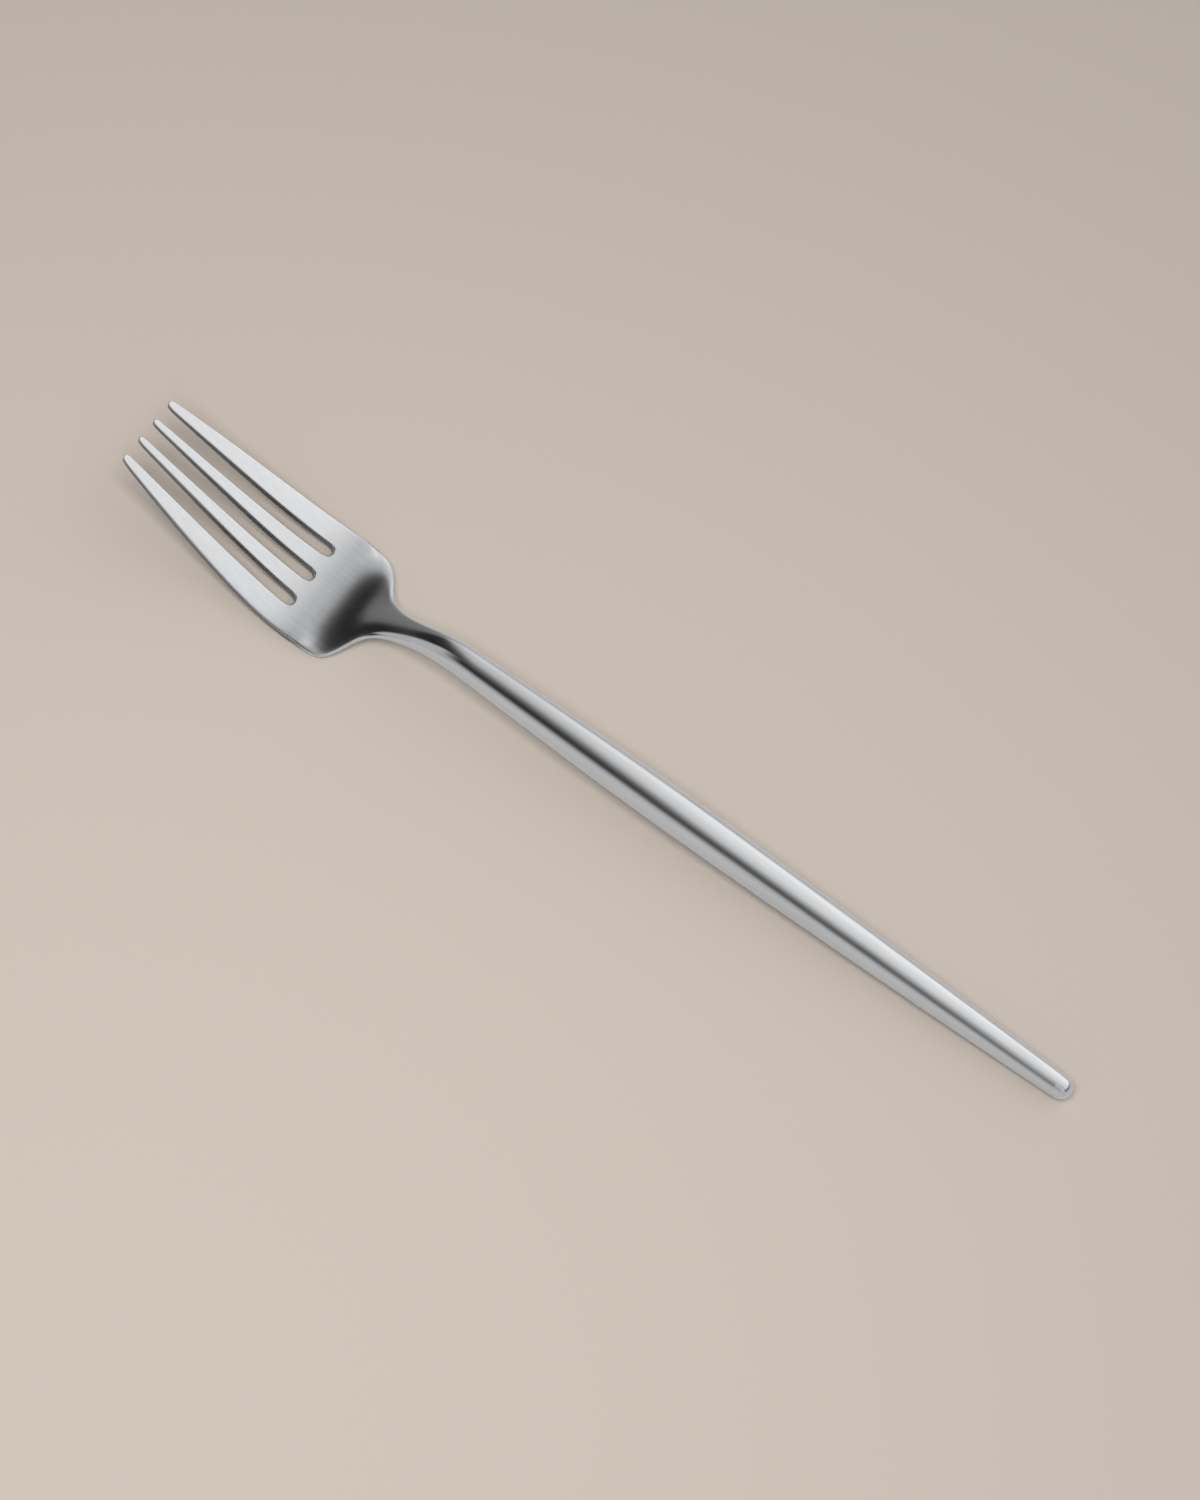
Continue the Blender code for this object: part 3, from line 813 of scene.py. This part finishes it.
# %% [markdown]
# ## The room
# Steel shows what is round it, so the room is part of the finish. A picture of a studio could light the
# fork, but a few smooth ramps say more plainly what the steel sees. The room is pale low down and dark
# overhead. The wall at the tines' end is darker, which gives the heel its dark reflection. Behind the
# camera the walls at both sides are pale, so that the fork isn't black from its other side. The camera sees
# none of this, only the plain backdrop.

# %% Walls of the room
# Stops are (height of a direction, brightness), where level is 0 and straight up is 1
ROOM_BY_HEIGHT = (
    (0.0, 0.68), (0.17, 0.64), (0.29, 0.52), (0.39, 0.35),
    (0.48, 0.2), (0.57, 0.06), (0.66, 0.015), (0.75, 0.008),
)
DARK_WALL_BY_HEIGHT = (
    (0.0, 0.26), (0.25, 0.25), (0.42, 0.24), (0.5, 0.18),
    (0.55, 0.06), (0.62, 0.025), (0.75, 0.02),
)
PALE_WALL = 0.6
# How far a direction leans towards a wall before the wall starts and is full
DARK_WALL_FULL = 0.65
PALE_BEHIND_FROM, PALE_BEHIND_FULL = 0.3, 0.56
PALE_ASIDE_FROM, PALE_ASIDE_FULL = 0.1, 0.45


def grey(brightness):
    return (brightness, brightness, brightness, 1.0)


def grey_ramp(tree, value, stops):
    """A smooth ramp of plain greys; stops are (value, brightness)."""
    low, high = stops[0][0], stops[-1][0]
    placed = add_node(tree, "ShaderNodeMapRange", {"Value": value, "From Min": low, "From Max": high})
    ramp = add_node(tree, "ShaderNodeValToRGB", {"Fac": placed.outputs["Result"]})
    ramp.color_ramp.interpolation = "B_SPLINE"
    while len(ramp.color_ramp.elements) < len(stops):
        ramp.color_ramp.elements.new(0.5)
    for element, (place, brightness) in zip(ramp.color_ramp.elements, stops):
        element.position = (place - low) / (high - low)
        element.color = grey(brightness)
    return ramp.outputs["Color"]


def front_walls(tree, heading):
    """The room by height, with the dark wall towards the tines' end."""
    tines_end = add_node(tree, "ShaderNodeMapRange", {
        "Value": heading["X"], "From Min": 0.0, "From Max": -DARK_WALL_FULL,
    }, interpolation_type="SMOOTHSTEP").outputs["Result"]
    return add_node(tree, "ShaderNodeMix", {
        "Factor": tines_end,
        "A": grey_ramp(tree, heading["Z"], ROOM_BY_HEIGHT),
        "B": grey_ramp(tree, heading["Z"], DARK_WALL_BY_HEIGHT),
    }, data_type="RGBA").outputs["Result"]


def pale_share(tree, heading):
    """1 on the pale walls behind the camera, to its left and right, and 0 elsewhere."""
    behind = add_node(tree, "ShaderNodeMapRange", {
        "Value": heading["Y"], "From Min": -PALE_BEHIND_FROM, "From Max": -PALE_BEHIND_FULL,
    }, interpolation_type="SMOOTHSTEP").outputs["Result"]
    aside = add_node(tree, "ShaderNodeMath", {0: heading["X"]}, operation="ABSOLUTE").outputs[0]
    to_a_side = add_node(tree, "ShaderNodeMapRange", {
        "Value": aside, "From Min": PALE_ASIDE_FROM, "From Max": PALE_ASIDE_FULL,
    }, interpolation_type="SMOOTHSTEP").outputs["Result"]
    return add_node(tree, "ShaderNodeMath", {0: behind, 1: to_a_side}, operation="MULTIPLY").outputs[0]


print("room goes from", ROOM_BY_HEIGHT[0][1], "when level to", ROOM_BY_HEIGHT[-1][1], "overhead")

# %% Room
BACKDROP_COLOUR = "#B6ADA4"


def studio_room():
    """A world that gives the steel the room's walls, and the camera the backdrop."""
    world = bpy.data.worlds.new("studio")
    world.use_nodes = True
    tree = world.node_tree
    tree.nodes.clear()
    direction = add_node(tree, "ShaderNodeTexCoord").outputs["Generated"]
    heading = add_node(tree, "ShaderNodeSeparateXYZ", {"Vector": direction}).outputs
    room = add_node(tree, "ShaderNodeMix", {
        "Factor": pale_share(tree, heading), "A": front_walls(tree, heading), "B": grey(PALE_WALL),
    }, data_type="RGBA").outputs["Result"]
    seen = add_node(tree, "ShaderNodeLightPath").outputs["Is Camera Ray"]
    colour = add_node(tree, "ShaderNodeMix", {
        "Factor": seen, "A": room, "B": linear(BACKDROP_COLOUR),
    }, data_type="RGBA").outputs["Result"]
    light = add_node(tree, "ShaderNodeBackground", {"Color": colour})
    add_node(tree, "ShaderNodeOutputWorld", {"Surface": light.outputs["Background"]})
    return world


bpy.context.scene.world = studio_room()
print("room made of", len(bpy.context.scene.world.node_tree.nodes), "nodes")

# %% [markdown]
# ## The softbox
# A wide softbox hangs over the table. It is brightest behind the fork and fades across a slanted edge
# towards the camera and the tines, which gives the handle its pale band with the dark line beside it. A
# lamp has one brightness all over, so the softbox is a card that glows by its own place, and adds its light
# to the room's without hiding it.

# %% Softbox cloth
CARD_STRENGTH = 1.26
# The edge slants over the card, EDGE_SLANT across for 1 along, and past EDGE_BEND runs along the fork
EDGE_SLANT, EDGE_BEND = 2.1, 0.1
# Stops are (place, brightness): over the slanted edge, along the fork and away from the camera
CARD_EDGE = (
    (-0.9, 0.0), (-0.5, 0.02), (-0.3, 0.055), (-0.17, 0.17), (-0.085, 0.355),
    (0.0, 0.6), (0.08, 0.74), (0.2, 0.83), (0.4, 0.97), (0.65, 1.0),
)
CARD_ALONG = (
    (-1.0, 0.0), (-0.5, 0.6), (-0.12, 0.68), (-0.06, 0.76), (0.0, 0.87),
    (0.1, 0.96), (0.3, 1.0), (0.9, 1.0), (1.2, 0.0),
)
CARD_ACROSS = ((-1.3, 1.0), (1.0, 1.0), (1.77, 0.7), (3.5, 0.2), (4.2, 0.0))


def glowing_cloth():
    # To the eye: a soft white glow with no border, seen only in the steel
    material, tree = new_material("softbox_cloth")
    place = add_node(tree, "ShaderNodeTexCoord").outputs["Object"]
    sides = add_node(tree, "ShaderNodeSeparateXYZ", {"Vector": place}).outputs
    bent = add_node(tree, "ShaderNodeMath", {0: sides["X"], 1: EDGE_BEND}, operation="MINIMUM").outputs[0]
    slanted = add_node(tree, "ShaderNodeMath", {
        0: sides["Y"], 1: 1.0 / EDGE_SLANT, 2: bent,
    }, operation="MULTIPLY_ADD").outputs[0]
    edge = grey_ramp(tree, slanted, CARD_EDGE)
    along = grey_ramp(tree, sides["X"], CARD_ALONG)
    across = grey_ramp(tree, sides["Y"], CARD_ACROSS)
    spread = add_node(tree, "ShaderNodeMix", {
        "Factor": 1.0, "A": along, "B": across,
    }, data_type="RGBA", blend_type="MULTIPLY").outputs["Result"]
    glow = add_node(tree, "ShaderNodeMix", {
        "Factor": 1.0, "A": spread, "B": edge,
    }, data_type="RGBA", blend_type="MULTIPLY").outputs["Result"]
    light = add_node(tree, "ShaderNodeEmission", {"Color": glow, "Strength": CARD_STRENGTH})
    clear = add_node(tree, "ShaderNodeBsdfTransparent")
    both = add_node(tree, "ShaderNodeAddShader", {0: light.outputs[0], 1: clear.outputs[0]})
    add_node(tree, "ShaderNodeOutputMaterial", {"Surface": both.outputs[0]})
    return material


cloth = glowing_cloth()
print(cloth.name, "glows at", CARD_STRENGTH, "at most")

# %% Hang the softbox
CARD_HEIGHT = 0.75

card_length = CARD_ALONG[-1][0] - CARD_ALONG[0][0]
card_width = CARD_ACROSS[-1][0] - CARD_ACROSS[0][0]
middle_along = (CARD_ALONG[-1][0] + CARD_ALONG[0][0]) / 2
middle_across = (CARD_ACROSS[-1][0] + CARD_ACROSS[0][0]) / 2
bpy.ops.object.select_all(action="DESELECT")
bpy.ops.mesh.primitive_plane_add(size=1.0, location=(middle_along, middle_across, CARD_HEIGHT))
card = bpy.context.object
card.name = "softbox"
card.scale = (card_length, card_width, 1.0)
bpy.ops.object.transform_apply()
card.visible_camera = False
dress(card, cloth)
print("softbox", round(card_length, 2), "by", round(card_width, 2), "m")

# %% [markdown]
# ## The fill lamp
# A small lamp over the near left lights the table, which then pales towards that corner, as in the
# photograph. The steel would mirror it as a hard spot. A larger lamp would spread the spot, but this one is
# simply left out of reflections.

# %% Fill lamp
FILL_PLACE, FILL_SIZE, FILL_POWER = (-0.04, -0.19, 0.45), 0.25, 2.0

bpy.ops.object.select_all(action="DESELECT")
bpy.ops.object.light_add(type="AREA", location=FILL_PLACE)
fill = bpy.context.object
fill.name = "fill_lamp"
fill.rotation_euler = Vector(FILL_PLACE).to_track_quat("Z", "Y").to_euler()
fill.data.size = FILL_SIZE
fill.data.energy = FILL_POWER
fill.visible_glossy = False
fill.visible_camera = False
bpy.context.scene.view_settings.view_transform = "Standard"
print("fill lamp of", FILL_POWER, "W at", FILL_PLACE, "m")
